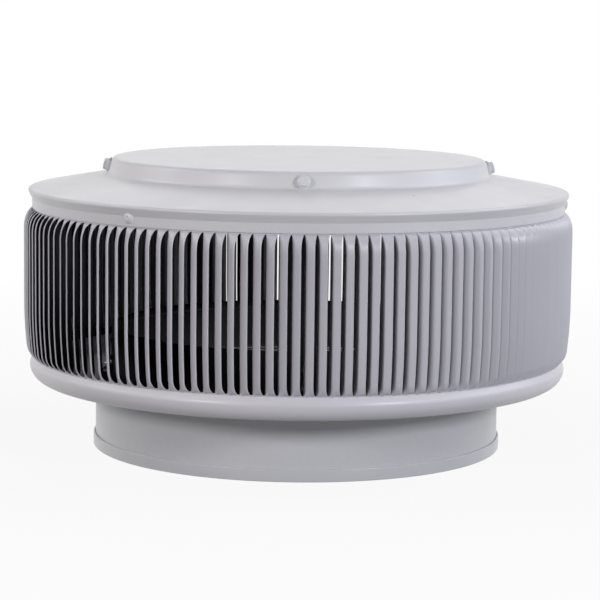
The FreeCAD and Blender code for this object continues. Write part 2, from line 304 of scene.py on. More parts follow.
class NodeSheet:
    """Adds and links shader nodes in one tree."""

    def __init__(self, tree: NodeTree) -> None:
        """Start on the tree of a material, a world or a group."""
        self.tree = tree

    def feed(self, socket: NodeSocket, value: object) -> None:
        """Feed an input.

        Args:
            socket: the input.
            value: a socket to link from, or a value.
        """
        if isinstance(value, NodeSocket):
            self.tree.links.new(value, socket)
        else:
            socket.default_value = value

    def add(self, kind: str, inputs: Optional[dict] = None, **settings: object) -> Node:
        """Add a node.

        Args:
            kind: node type without its ShaderNode prefix.
            inputs: sockets by name or index, each with a value or a socket to link from.
            settings: properties of the node.

        Returns:
            The new node.
        """
        node = self.tree.nodes.new("ShaderNode" + kind)
        for key, value in settings.items():
            setattr(node, key, value)
        for key, value in (inputs or {}).items():
            self.feed(node.inputs[key], value)
        return node

    def noise(self, vector: NodeSocket, scale: object, detail: float) -> NodeSocket:
        """Noise between 0 and 1 at a scale in cycles for each metre."""
        inputs = {"Vector": vector, "Scale": scale, "Detail": detail}
        return self.add("TexNoise", inputs).outputs["Fac"]

    def ramp(self, value: NodeSocket, start: float, end: float,
             low: object = 0.0, high: object = 1.0) -> NodeSocket:
        """Straight ramp from start and end to low and high, held at both ends."""
        inputs = {"Value": value, "From Min": start, "From Max": end, "To Min": low, "To Max": high}
        return self.add("MapRange", inputs).outputs["Result"]

    def maths(self, operation: str, first: object, second: object) -> NodeSocket:
        """Result of one sum on two numbers."""
        return self.add("Math", {0: first, 1: second}, operation=operation).outputs[0]

    def blend(self, share: object, first: object, second: object) -> NodeSocket:
        """Mix of two colours."""
        return self.add("Mix", {0: share, 6: first, 7: second}, data_type="RGBA").outputs[2]


class EffectGroup:
    """Shader node group with named inputs and outputs, built once and shared by the finishes."""

    name = "effect"
    inputs: dict[str, str] = {}
    outputs: dict[str, str] = {}

    @classmethod
    def tree(cls) -> NodeTree:
        """Build the group, or fetch it where it is built.

        Returns:
            The group's node tree.
        """
        known = bpy.data.node_groups.get(cls.name)
        if known:
            return known
        tree = bpy.data.node_groups.new(cls.name, "ShaderNodeTree")
        for side, sockets in (("INPUT", cls.inputs), ("OUTPUT", cls.outputs)):
            for label, kind in sockets.items():
                tree.interface.new_socket(label, in_out=side, socket_type=kind)
        source = tree.nodes.new("NodeGroupInput").outputs
        sink = tree.nodes.new("NodeGroupOutput").inputs
        for label, socket in cls.wire(NodeSheet(tree), source).items():
            tree.links.new(socket, sink[label])
        return tree

    @classmethod
    def wire(cls, sheet: NodeSheet, source: Sockets) -> Sockets:
        """Lay the group's nodes from its own inputs to a socket for each named output."""
        raise NotImplementedError

    @classmethod
    def place(cls, sheet: NodeSheet, **values: object) -> Sockets:
        """Place the group in a material and give its outputs; values have _ for spaces."""
        inputs = {key.replace("_", " "): value for key, value in values.items()}
        return sheet.add("Group", inputs, node_tree=cls.tree()).outputs


class OrangePeel(EffectGroup):
    """Fine pebbling of sprayed paint over long shallow waves in the sheet."""

    name = "orange_peel"
    inputs = {"Place": VECTOR, "Grain": FLOAT, "Waves": FLOAT, "Wave Share": FLOAT}
    outputs = {"Height": FLOAT}

    @classmethod
    def wire(cls, sheet: NodeSheet, source: Sockets) -> Sockets:
        """Add two noises.

        Args:
            sheet: sheet of the group.
            source: its inputs.

        Returns:
            Its outputs.
        """
        grain = sheet.noise(source["Place"], source["Grain"], detail=1.0)
        waves = sheet.noise(source["Place"], source["Waves"], detail=1.0)
        tall = sheet.maths("MULTIPLY", waves, source["Wave Share"])
        return {"Height": sheet.maths("ADD", grain, tall)}


class SpinMarks(EffectGroup):
    """Rings that a spinning tool leaves round the axis."""

    name = "spin_marks"
    inputs = {"Place": VECTOR, "Rings": FLOAT}
    outputs = {"Height": FLOAT}
    level = (1.0, 1.0, 0.0)

    @classmethod
    def wire(cls, sheet: NodeSheet, source: Sockets) -> Sockets:
        """Run a noise along the sheet, outwards and down.

        Args:
            sheet: sheet of the group.
            source: its inputs.

        Returns:
            Its outputs.
        """
        flat = sheet.add("VectorMath", {0: source["Place"], 1: cls.level}, operation="MULTIPLY")
        radius = sheet.add("VectorMath", {0: flat.outputs[0]}, operation="LENGTH")
        height = sheet.add("SeparateXYZ", {0: source["Place"]}).outputs["Z"]
        along = sheet.maths("SUBTRACT", radius.outputs["Value"], height)
        inputs = {"W": along, "Scale": source["Rings"], "Detail": 2.0}
        rings = sheet.add("TexNoise", inputs, noise_dimensions="1D")
        return {"Height": rings.outputs["Fac"]}


class PaintTone(EffectGroup):
    """Slow drift of colour and gloss over a face."""

    name = "paint_tone"
    inputs = {"Place": VECTOR, "Paint": COLOUR, "Shade": COLOUR, "Gloss": FLOAT, "Dull": FLOAT}
    outputs = {"Colour": COLOUR, "Roughness": FLOAT}
    drift_scale = 9.0
    drift_range = (0.35, 0.7)
    smudge_scale = 38.0
    smudge_range = (0.3, 0.75)

    @classmethod
    def wire(cls, sheet: NodeSheet, source: Sockets) -> Sockets:
        """Drift the colour with one noise and the gloss with a finer one.

        Args:
            sheet: sheet of the group.
            source: its inputs.

        Returns:
            Its outputs.
        """
        drift = sheet.noise(source["Place"], cls.drift_scale, detail=3.0)
        share = sheet.ramp(drift, *cls.drift_range)
        smudge = sheet.noise(source["Place"], cls.smudge_scale, detail=4.0)
        rough = sheet.ramp(smudge, *cls.smudge_range, source["Gloss"], source["Dull"])
        return {"Colour": sheet.blend(share, source["Paint"], source["Shade"]), "Roughness": rough}


class PatchMask(EffectGroup):
    """Patches of a noise, kept where a signal of the surface is strong."""

    inputs = {"Place": VECTOR, "Amount": FLOAT}
    outputs = {"Mask": FLOAT}
    signal_range: Point
    patch_scale: float
    patch_detail: float
    patch_range: Point

    @classmethod
    def signal(cls, sheet: NodeSheet) -> NodeSocket:
        """The surface's signal."""
        raise NotImplementedError

    @classmethod
    def wire(cls, sheet: NodeSheet, source: Sockets) -> Sockets:
        """Multiply signal, patches and amount.

        Args:
            sheet: sheet of the group.
            source: its inputs.

        Returns:
            Its outputs.
        """
        strong = sheet.ramp(cls.signal(sheet), *cls.signal_range)
        cloud = sheet.noise(source["Place"], cls.patch_scale, cls.patch_detail)
        share = sheet.maths("MULTIPLY", strong, sheet.ramp(cloud, *cls.patch_range))
        return {"Mask": sheet.maths("MULTIPLY", share, source["Amount"])}


class SettledDust(PatchMask):
    """Thin dust on faces that look up."""

    name = "settled_dust"
    signal_range = (0.5, 1.0)
    patch_scale = 60.0
    patch_detail = 6.0
    patch_range = (0.45, 0.7)

    @classmethod
    def signal(cls, sheet: NodeSheet) -> NodeSocket:
        """How far the face looks up."""
        normal = sheet.add("NewGeometry").outputs["Normal"]
        return sheet.add("SeparateXYZ", {0: normal}).outputs["Z"]


class EdgeWear(PatchMask):
    """Thin paint on sharp edges, broken up by noise."""

    name = "edge_wear"
    signal_range = (0.53, 0.62)
    patch_scale = 240.0
    patch_detail = 4.0
    patch_range = (0.5, 0.72)

    @classmethod
    def signal(cls, sheet: NodeSheet) -> NodeSocket:
        """How sharp the surface is."""
        return sheet.add("NewGeometry").outputs["Pointiness"]


class DarkSpecks(EffectGroup):
    """Scattered tiny specks and nicks."""

    name = "dark_specks"
    inputs = {"Place": VECTOR, "Cells": FLOAT, "Size": FLOAT, "Share": FLOAT}
    outputs = {"Mask": FLOAT}

    @classmethod
    def wire(cls, sheet: NodeSheet, source: Sockets) -> Sockets:
        """Put a spot in a share of the cells.

        Args:
            sheet: sheet of the group.
            source: its inputs.

        Returns:
            Its outputs.
        """
        cells = sheet.add("TexVoronoi", {"Vector": source["Place"], "Scale": source["Cells"]})
        spot = sheet.maths("LESS_THAN", cells.outputs["Distance"], source["Size"])
        draw = sheet.add("SeparateXYZ", {0: cells.outputs["Color"]}).outputs["X"]
        chosen = sheet.maths("LESS_THAN", draw, source["Share"])
        return {"Mask": sheet.maths("MULTIPLY", spot, chosen)}


def opaque(colour: Colour) -> tuple[float, float, float, float]:
    """Colour with full alpha."""
    return (*colour, 1.0)


class Surface:
    """A new material with its sheet, its shader and the place on the object."""

    def __init__(self, name: str) -> None:
        """Start a material.

        Args:
            name: name of the material.
        """
        self.material = bpy.data.materials.new(name)
        self.material.use_nodes = True
        self.shader = self.material.node_tree.nodes["Principled BSDF"]
        self.sheet = NodeSheet(self.material.node_tree)
        self.spot = self.sheet.add("TexCoord").outputs["Object"]

    def effect(self, group: type[EffectGroup], **values: object) -> Sockets:
        """Outputs of a shared effect, placed here with its own values."""
        return group.place(self.sheet, Place=self.spot, **values)

    def tone(self, colour: Colour, shade: Colour, gloss: float, dull: float) -> Sockets:
        """Outputs of the colour and gloss drift."""
        return self.effect(PaintTone, Paint=opaque(colour), Shade=opaque(shade), Gloss=gloss,
                           Dull=dull)

    def bump(self, height: NodeSocket, depth: float, **below: NodeSocket) -> NodeSocket:
        """Normal of a relief of some depth, over the normal below it if there is one."""
        inputs = {"Strength": 1.0, "Distance": depth, "Height": height, **below}
        return self.sheet.add("Bump", inputs).outputs["Normal"]

    def cover(self, colour: NodeSocket, tone: Sockets, normal: NodeSocket,
              **constants: float) -> Material:
        """Feed the shader.

        Args:
            colour: base colour.
            tone: gloss and colour drift.
            normal: normal with all relief.
            constants: values for the shader's own sockets, with underscores for spaces.

        Returns:
            The material.
        """
        values = {"Base_Color": colour, "Roughness": tone["Roughness"], "Normal": normal}
        for key, value in (values | constants).items():
            self.sheet.feed(self.shader.inputs[key.replace("_", " ")], value)
        return self.material


@dataclass(frozen=True)
class GlossPaint:
    """Sprayed gloss paint on sheet metal."""

    name: str
    paint: Colour
    shade: Colour
    gloss: float = 0.4
    dull: float = 0.5
    coat: float = 0.25
    coat_roughness: float = 0.24
    grain: float = 620.0
    waves: float = 26.0
    wave_share: float = 9.0
    peel_depth: float = 0.012 * MM
    rings: float = 330.0
    ring_depth: float = 0.02 * MM
    dust: float = 0.12
    dust_colour: Colour = (0.62, 0.61, 0.58)
    speck_cells: float = 70.0
    speck_size: float = 0.055
    speck_share: float = 0.05
    speck_colour: Colour = (0.13, 0.12, 0.12)
    wear: float = 0.25
    bare: Colour = (0.5, 0.5, 0.51)

    def build(self) -> Material:
        """Make the material.

        Returns:
            The painted material.
        """
        surface = Surface(self.name)
        blend = surface.sheet.blend
        tone = surface.tone(self.paint, self.shade, self.gloss, self.dull)
        dust = surface.effect(SettledDust, Amount=self.dust)["Mask"]
        wear = surface.effect(EdgeWear, Amount=self.wear)["Mask"]
        specks = surface.effect(DarkSpecks, Cells=self.speck_cells, Size=self.speck_size,
                                Share=self.speck_share)["Mask"]
        colour = blend(dust, tone["Colour"], opaque(self.dust_colour))
        colour = blend(wear, colour, opaque(self.bare))
        colour = blend(specks, colour, opaque(self.speck_colour))
        rings = surface.effect(SpinMarks, Rings=self.rings)["Height"]
        peel = surface.effect(OrangePeel, Grain=self.grain, Waves=self.waves,
                              Wave_Share=self.wave_share)["Height"]
        turned = surface.bump(rings, self.ring_depth)
        pebbled = surface.bump(peel, self.peel_depth, Normal=turned)
        return surface.cover(colour, tone, pebbled, Coat_Weight=self.coat,
                             Coat_Roughness=self.coat_roughness)


@dataclass(frozen=True)
class MillMetal:
    """Bare rolled aluminium, dulled by handling; near-black tones paint the shade inside the vent.
    """

    name: str
    bright: Colour
    dark: Colour
    smooth: float = 0.28
    rough: float = 0.48
    grain: float = 900.0
    grain_depth: float = 0.004 * MM

    def build(self) -> Material:
        """Make the material.

        Returns:
            The bare metal material.
        """
        surface = Surface(self.name)
        tone = surface.tone(self.bright, self.dark, self.smooth, self.rough)
        lines = surface.effect(SpinMarks, Rings=self.grain)["Height"]
        grained = surface.bump(lines, self.grain_depth)
        return surface.cover(tone["Colour"], tone, grained, Metallic=1.0)


@dataclass(frozen=True)
class SealRubber:
    """Dull moulded rubber."""

    name: str
    rubber: Colour
    bloom: Colour
    smooth: float = 0.62
    rough: float = 0.85
    pores: float = 1400.0
    waves: float = 120.0
    wave_share: float = 0.5
    pore_depth: float = 0.02 * MM

    def build(self) -> Material:
        """Make the material.

        Returns:
            The rubber material.
        """
        surface = Surface(self.name)
        tone = surface.tone(self.rubber, self.bloom, self.smooth, self.rough)
        pores = surface.effect(OrangePeel, Grain=self.pores, Waves=self.waves,
                               Wave_Share=self.wave_share)["Height"]
        return surface.cover(tone["Colour"], tone, surface.bump(pores, self.pore_depth))


class Finishes:
    """All finishes of the vent."""

    def __init__(self) -> None:
        """Build each material."""
        self.cap = GlossPaint("cap_gloss_white", (0.72, 0.72, 0.725), (0.69, 0.69, 0.695),
                              coat=0.3, coat_roughness=0.22).build()
        # slats: a darker, lavender copy of the cap's white, painting the slats' shade and the
        # lamps' lavender cast
        self.louvre = GlossPaint("louvre_white_painted_shade", (0.67, 0.665, 0.7), (0.635, 0.63, 0.665),
                                 ring_depth=0.0, dust=0.05).build()
        # pan: a lighter copy of the cap's white, painting the extra light on the pan's lit lip and
        # its highlight
        self.pan = GlossPaint("pan_white_painted_light", (0.75, 0.74, 0.76), (0.72, 0.71, 0.73)).build()
        self.collar = GlossPaint("collar_gloss_white", (0.66, 0.67, 0.68), (0.62, 0.63, 0.64),
                                 ring_depth=0.004 * MM, gloss=0.32, dull=0.42).build()
        self.fastener = GlossPaint("fastener_gloss_white", (0.72, 0.72, 0.74), (0.7, 0.7, 0.72),
                                   ring_depth=0.0, wave_share=0.0, speck_share=0.0).build()
        self.seal = SealRubber("painted_washer_rubber", (0.7, 0.7, 0.71),
                               (0.66, 0.66, 0.67)).build()
        self.gasket = SealRubber("dark_gasket_rubber", (0.035, 0.035, 0.037),
                                 (0.06, 0.06, 0.062)).build()
        # near-black metal: painted shade for the dark inside of the vent, on the hoop's inner
        # faces, the throat, straps, joint plates and strap rivets
        self.painted_shade_metal = MillMetal("near_black_painted_shade_metal", (0.032, 0.032, 0.036),
                              (0.014, 0.014, 0.017)).build()
        self.rivet = MillMetal("rivet_aluminium", (0.5, 0.5, 0.51), (0.4, 0.4, 0.41),
                               smooth=0.36, rough=0.5).build()


@dataclass
class TopCap:
    """Flat crown, crown wall, sloping brim, in-turned band and skirt, spun from one sheet."""

    finish: Material
    segments: int = 420
    crown_height: float = 13.0 * MM
    crown_foot_radius: float = 153.55 * MM
    crown_draft: float = 14.0
    crown_rings: tuple[float, ...] = (0.0, 0.35, 0.7)
    shoulder_bend: float = 4.6 * MM
    root_bend: float = 3.4 * MM
    brim_radius: float = 218.4 * MM
    brim_slope: float = 10.4
    brim_bend: float = 2.0 * MM
    band_height: float = 7.3 * MM
    skirt_radius: float = 214.4 * MM
    skirt_bend: float = 1.6 * MM

    def build(self) -> None:
        """Make the cap from its outer face's corners, from the axis to the skirt's edge."""
        span = NodeSpan.of("top_cap")
        foot_level = span.high - self.crown_height
        fall = (self.brim_radius - self.crown_foot_radius) * math.tan(math.radians(self.brim_slope))
        draft = math.tan(math.radians(self.crown_draft))
        shoulder = self.crown_foot_radius - self.crown_height * draft
        corners = [Corner(shoulder * share, span.high) for share in self.crown_rings] + [
            Corner(shoulder, span.high, self.shoulder_bend),
            Corner(self.crown_foot_radius, foot_level, self.root_bend),
            Corner(self.brim_radius, foot_level - fall, self.brim_bend),
            Corner(self.skirt_radius, span.low + self.band_height, self.skirt_bend),
            Corner(self.skirt_radius, span.low),
        ]
        mesh = spun_mesh("cap_shell", sheet_section(corners, SheetSide.RIGHT), self.segments)
        add_piece(mesh, [self.finish], "cap_paint", "top_cap")


@dataclass
class LouvreHoop:
    """Sheet hoop whose wall is lanced into slats that swing out on one side.

    A slat's section runs from its heel over a crest to its toe. Throw is how far the toe stands
    out, swing is how far round the hoop it stops short of the next heel, and crest is a share of
    the width and of the throw.
    """

    outside: Material
    # inner faces: near-black metal that paints the shade inside the vent
    inside: Material
    count: int = 143
    first: float = -1.22
    strips: int = 9
    throw: float = 8.0 * MM
    throw_play: float = 0.22 * MM
    dip: float = 0.3 * MM
    swing: float = 2.6 * MM
    swing_pairs: float = 0.12 * MM
    swing_play: float = 0.15 * MM
    crest: Point = (0.2, 0.56)
    crest_bend: float = 0.6
    sink: float = 2.6 * MM
    sink_height: float = 42.0 * MM
    foot: float = 8.0 * MM
    foot_steps: int = 9
    blade_steps: int = 14
    head: float = 15.0 * MM
    head_steps: int = 12
    head_swing: float = 10.0 * MM
    slit: float = 0.3 * MM
    relief: float = 0.35 * MM
    relief_height: float = 0.7 * MM
    lower_band: float = 7.0 * MM
    lower_band_steps: int = 2
    upper_band: float = 14.4 * MM
    upper_band_steps: int = 4
    edge_round: float = 0.22 * MM
    crease: float = 50.0
    seed: int = 11

    def __post_init__(self) -> None:
        """Take the levels from the frame and draw each slat's small differences."""
        span = NodeSpan.of("louver_ring")
        self.radius = span.radius - self.throw
        self.low = span.low
        self.high = span.high
        self.bottom = span.low + self.lower_band
        self.top = span.high - self.upper_band
        draw = random.Random(self.seed)
        self.throws = []
        self.swings = []
        for index in range(self.count):
            pair = self.swing_pairs * (-1) ** index
            self.throws.append(draw.uniform(-self.throw_play, 0.0))
            self.swings.append(pair + draw.uniform(-self.swing_play, self.swing_play))
        corners = [Corner(0.0, 0.0), Corner(*self.crest, self.crest_bend), Corner(1.0, 1.0)]
        self.profile = rounded(corners, self.strips - 2)

    def levels(self) -> list[float]:
        """Levels of the slatted part, close together at both ends.

        Returns:
            Heights from the slits' lower to their upper ends.
        """
        lower = [self.bottom + rise for rise in eased(self.foot, self.foot_steps)]
        upper = [self.top - fall for fall in reversed(eased(self.head, self.head_steps))]
        gap = upper[0] - lower[-1]
        blade = [lower[-1] + gap * step / self.blade_steps for step in range(1, self.blade_steps)]
        return lower + blade + upper

    def opening(self, level: float, head: float) -> float:
        """Share of the full throw at a level, for a head of some length."""
        above = quarter_round((level - self.bottom) / self.foot)
        return above * quarter_round((self.top - level) / head)

    def section(self, slat: int, level: float) -> tuple[list[Vector], list[Vector]]:
        """Outer and inner points of one slat at a level, from heel to toe.

        Args:
            slat: number of the slat.
            level: height of the section.

        Returns:
            The outer points and the inner points.
        """
        opening = self.opening(level, self.head)
        turning = self.opening(level, self.head_swing)
        fall = max(0.0, self.bottom + self.sink_height - level) / self.sink_height
        base = self.radius - self.sink * (1 - math.cos(math.pi / 2 * fall)) * opening
        end = min(level - self.bottom, self.top - level) / self.relief_height
        half_slit = self.slit / 2 + self.relief * math.exp(-end * end)
        pitch = 360.0 / self.count
        swing = (self.swing + self.swings[slat]) * turning
        heel = self.first + pitch * slat + math.degrees(half_slit / self.radius)
        width = pitch - math.degrees((2 * half_slit + swing) / self.radius)
        reach = self.dip + self.throw + self.throws[slat]
        outer = []
        for step, (along, out) in enumerate(self.profile):
            even = step / self.strips
            share = even + (along - even) * opening
            radius = base + (reach * out - self.dip) * opening
            outer.append(polar(radius, heel + width * share, level))
        runs = [(after - before).normalized() for before, after in zip(outer, outer[1:])]
        inner = []
        for point, before, after in zip(outer, runs[:1] + runs, runs + runs[-1:]):
            middle = (before + after).normalized()
            inward = Vector((-middle.y, middle.x, 0.0))
            inner.append(point + inward * (SHEET / middle.dot(after)))
        return outer, inner

    def build(self) -> None:
        """Make the hoop, with its inner faces in the second material, a near-black painted shade.
        """
        mesh = HoopMesh(self).mesh("louvre_hoop")
        add_piece(mesh, [self.outside, self.inside], "louvre_paint", "louver_ring")


@dataclass(frozen=True)
class SlatRow:
    """Numbers of one slat's points at one level, from heel to toe, and of its edges' middles."""

    outer: list[int]
    inner: list[int]
    edges: list[int]

    def across(self, end: int) -> list[int]:
        """Points across an edge: 0 for the heel's and -1 for the toe's."""
        return [self.outer[end], self.edges[end], self.inner[end]]


class HoopMesh:
    """Lays the hoop's points and faces: band, slats and band, outside, inside and edges."""

    def __init__(self, hoop: LouvreHoop) -> None:
        """Lay all points.

        Args:
            hoop: sizes and slat sections.
        """
        self.hoop = hoop
        self.points: list[Vector] = []
        self.faces: list[tuple[int, ...]] = []
        self.inner_faces: set[int] = set()
        slats = hoop.levels()
        below, above = hoop.lower_band_steps, hoop.upper_band_steps
        self.levels = [hoop.low + (hoop.bottom - hoop.low) * step / below for step in range(below)]
        self.first = len(self.levels)
        self.last = self.first + len(slats) - 1
        self.levels += slats
        self.levels += [hoop.top + (hoop.high - hoop.top) * step / above
                        for step in range(1, above + 1)]
        self.rows = [[self.lay_slat(slat, index) for slat in range(hoop.count)]
                     for index in range(len(self.levels))]

    def lay_points(self, points: Sequence[Vector]) -> list[int]:
        """Store points and give their numbers."""
        self.points.extend(points)
        return list(range(len(self.points) - len(points), len(self.points)))

    def lay_slat(self, slat: int, index: int) -> SlatRow:
        """Lay one slat's points at one level.

        Args:
            slat: number of the slat.
            index: number of the level.

        Returns:
            The points' numbers.
        """
        level = self.levels[index]
        outer, inner = self.hoop.section(slat, min(max(level, self.hoop.bottom), self.hoop.top))
        for point in outer + inner:
            point.z = level
        edges = []
        if self.first <= index <= self.last:
            for end, near in ((0, 1), (-1, -2)):
                bulge = (outer[end] - outer[near]).normalized() * self.hoop.edge_round
                edges.append((outer[end] + inner[end]) / 2 + bulge)
        middles = self.lay_points(edges)
        return SlatRow(self.lay_points(outer), self.lay_points(inner), middles)

    def lay_strip(self, low: list[int], high: list[int], inner: bool = False) -> None:
        """Lay quads between two rows of points.

        Args:
            low: numbers of one row's points.
            high: numbers of the other row's points.
            inner: whether the faces look inwards.
        """
        for quad in zip(low, low[1:], high[1:], high):
            if inner:
                self.inner_faces.add(len(self.faces))
            self.faces.append(quad[::-1] if inner else quad)

    def lay_level(self, index: int) -> None:
        """Lay all faces between one level and the next: closed in a band, open between slats.

        Args:
            index: number of the lower level.
        """
        in_slats = self.first <= index < self.last
        for low, high, next_low, next_high in self.neighbours(index, index + 1):
            link = 0 if in_slats else 1
            self.lay_strip(low.outer + next_low.outer[:link], high.outer + next_high.outer[:link])
            self.lay_strip(low.inner + next_low.inner[:link], high.inner + next_high.inner[:link],
                           inner=True)
            if in_slats:
                for end in (0, -1):
                    self.lay_strip(low.across(end), high.across(end))

    def neighbours(self, *levels: int) -> list[tuple[SlatRow, ...]]:
        """Each slat's rows at some levels, with the next slat's rows at those levels."""
        rows = [self.rows[index] for index in levels]
        return list(zip(*rows, *[row[1:] + row[:1] for row in rows]))

    def mesh(self, name: str) -> Mesh:
        """Lay all faces, and close the slits' ends and the hoop's free edges.

        Args:
            name: name of the mesh.

        Returns:
            A closed mesh with the inner faces on the second material.
        """
        for index in range(len(self.levels) - 1):
            self.lay_level(index)
        for index in (self.first, self.last):
            for here, after in self.neighbours(index):
                self.lay_strip(here.across(-1), after.across(0))
        for index in (0, len(self.levels) - 1):
            for here, after in self.neighbours(index):
                self.lay_strip(here.outer + after.outer[:1], here.inner + after.inner[:1])
        mesh = bpy.data.meshes.new(name)
        mesh.from_pydata(self.points, [], self.faces)
        for index in self.inner_faces:
            mesh.polygons[index].material_index = 1
        work = bmesh.new()
        work.from_mesh(mesh)
        store_mesh(work, mesh)
        finish_mesh(mesh, self.hoop.crease)
        return mesh


@dataclass
class BottomPan:
    """Bulging pan whose lip leans in on the hoop, with weep slots in its floor."""

    finish: Material
    segments: int = 420
    lip_radius: float = 214.4 * MM
    lip_lean: float = 5.0 * MM
    lip_bend: float = 6.0 * MM
    lip_thin: float = 0.6 * MM
    corner_bend: float = 11.8 * MM
    floor_radius: float = 149.3 * MM
    slot_count: int = 4
    slot_first: float = -110.0
    slot_near: float = 166.5 * MM
    slot_width: float = 4.0 * MM
    slot_length: float = 24.0 * MM
    slot_end_steps: int = 9

    def build(self) -> None:
        """Make the pan."""
        span = NodeSpan.of("bottom_pan")
        corners = [
            Corner(self.lip_radius - self.lip_thin, span.high),
            Corner(span.radius, span.high - self.lip_lean, self.lip_bend),
            Corner(span.radius, span.low, self.corner_bend),
            Corner(self.floor_radius, span.low),
        ]
        inner = shifted(corners, SheetSide.RIGHT)
        inner[0] = Corner(self.lip_radius - SHEET, span.high)
        section = rounded(corners) + list(reversed(rounded(inner)))
        mesh = spun_mesh("pan_shell", section, self.segments)
        piece = add_piece(mesh, [self.finish], "pan_paint", "bottom_pan")
        self.cut_slots(piece, span.low)

    def cut_slots(self, piece: Object, floor: float) -> None:
        """Cut the weep slots through the floor.

        Args:
            piece: the pan.
            floor: level of the floor's lower face.
        """
        cutter = put("slot_cutter", self.slot_mesh(floor))
        cut = piece.modifiers.new("slots", "BOOLEAN")
        cut.object = cutter
        cut.solver = "EXACT"
        graph = bpy.context.evaluated_depsgraph_get()
        final = bpy.data.meshes.new_from_object(piece.evaluated_get(graph))
        piece.modifiers.clear()
        rough = piece.data
        piece.data = final
        final.name = "pan_shell"
        finish_mesh(final)
        bpy.data.objects.remove(cutter)
        bpy.data.meshes.remove(rough)

    def slot_mesh(self, floor: float) -> Mesh:
        """Solid round-ended slots, all in one mesh.

        Args:
            floor: level of the floor's lower face.

        Returns:
            The cutters' mesh.
        """
        work = bmesh.new()
        half = self.slot_width / 2
        middle = self.slot_near + half
        reach = math.degrees((self.slot_length / 2 - half) / middle)
        for first in round_copies(self.slot_count, self.slot_first):
            outline = []
            for axis, turn in ((first + reach, 0.0), (first - reach, 180.0)):
                centre = polar(middle, axis, floor - SHEET)
                for step in range(self.slot_end_steps):
                    round_end = turn + 180.0 * (step + 0.5) / self.slot_end_steps
                    outline.append(centre + polar(half, axis + round_end, 0.0))
            face = work.faces.new([work.verts.new(point) for point in outline])
            raised = bmesh.ops.extrude_face_region(work, geom=[face])["geom"]
            lift = [part for part in raised if isinstance(part, bmesh.types.BMVert)]
            bmesh.ops.translate(work, verts=lift, vec=UP * SHEET * 3)
        mesh = bpy.data.meshes.new("slot_cutters")
        store_mesh(work, mesh)
        return mesh


@dataclass
class Throat:
    """Upstand with a hemmed rim inside the vent, and the straps that stand on it."""

    finish: Material
    segments: int = 240
    wall_radius: float = 149.0 * MM
    bend: float = 2.5 * MM
    hem_height: float = 6.0 * MM
    hem_thickness: float = 2.2 * MM
    hem_round: float = 1.0 * MM
    hem_root: float = 0.3 * MM
    hem_edge: float = 0.4 * MM

    def build(self) -> None:
        """Make the upstand and dress the straps."""
        span = NodeSpan.of("throat")
        wall = self.wall_radius
        back = wall - self.hem_thickness
        corners = [
            Corner(span.radius, span.low),
            Corner(wall - SHEET, span.low, self.bend),
            Corner(wall - SHEET, span.high - self.hem_height, self.hem_root),
            Corner(back, span.high - self.hem_height, self.hem_edge),
            Corner(back, span.high, self.hem_round),
            Corner(wall, span.high, self.hem_round),
            Corner(wall, span.low + SHEET, self.bend - SHEET),
            Corner(span.radius, span.low + SHEET),
        ]
        mesh = spun_mesh("throat_upstand", rounded(corners), self.segments)
        # the finish here is the near-black metal that paints the shade inside the vent, on the
        # upstand and the straps
        add_piece(mesh, [self.finish], "throat_paint", "throat")
        dress_nodes(self.finish, "strap_front", "strap_right", "strap_back", "strap_left")


@dataclass
class AdapterCollar:
    """Collar that slips over the pipe, with a top flange, a lapped back seam and a foot band."""

    finish: Material
    segments: int = 360
    bend: float = 3.0 * MM
    flange_radius: float = 151.0 * MM
    lap_middle: float = 180.0
    lap_width: float = 20.0 * MM
    lap_steps: int = 12
    gap: float = 0.3 * MM
    edge: float = 0.25 * MM
    foot_round: float = 0.7 * MM

    def build(self) -> None:
        """Make the collar and its foot band."""
        span = NodeSpan.of("adapter_collar")
        foot = NodeSpan.of("foot_ring")
        corners = [
            Corner(span.radius, span.low),
            Corner(span.radius, span.high, self.bend),
            Corner(self.flange_radius, span.high),
        ]
        shell = spun_mesh("collar_shell", sheet_section(corners, SheetSide.LEFT), self.segments)
        self.add_lap(shell, span, foot.high)
        inside = span.radius + self.gap
        middle = (foot.low + foot.high) / 2
        band = [
            Corner(inside, middle),
            Corner(inside, foot.low, self.edge),
            Corner(foot.radius, foot.low, self.foot_round),
            Corner(foot.radius, foot.high, self.foot_round),
            Corner(inside, foot.high, self.edge),
            Corner(inside, middle),
        ]
        ring = spun_mesh("foot_band", rounded(band)[:-1], self.segments)
        add_piece(shell, [self.finish], "collar_paint", "adapter_collar")
        add_piece(ring, [self.finish], "collar_paint", "foot_ring")

    def add_lap(self, shell: Mesh, span: NodeSpan, foot_top: float) -> None:
        """Lay the seam's overlap on the back of the collar.

        Args:
            shell: mesh of the collar.
            span: size of the collar.
            foot_top: top of the foot band.
        """
        work = bmesh.new()
        work.from_mesh(shell)
        low = foot_top + self.gap
        high = span.high - self.bend
        inside, outside = span.radius - SHEET / 2, span.radius + SHEET
        ends = ((inside, low), (outside, low), (outside, high), (inside, high))
        half = math.degrees(self.lap_width / 2 / span.radius)
        rings = []
        for step in range(self.lap_steps + 1):
            degrees = self.lap_middle - half + 2 * half * step / self.lap_steps
            rings.append([work.verts.new(polar(radius, degrees, height))
                          for radius, height in ends])
        for before, after in zip(rings, rings[1:]):
            for index, corner in enumerate(before):
                follow = (index + 1) % len(ends)
                work.faces.new((corner, before[follow], after[follow], after[index]))
        work.faces.new(rings[0])
        work.faces.new(list(reversed(rings[-1])))
        store_mesh(work, shell)
        finish_mesh(shell)


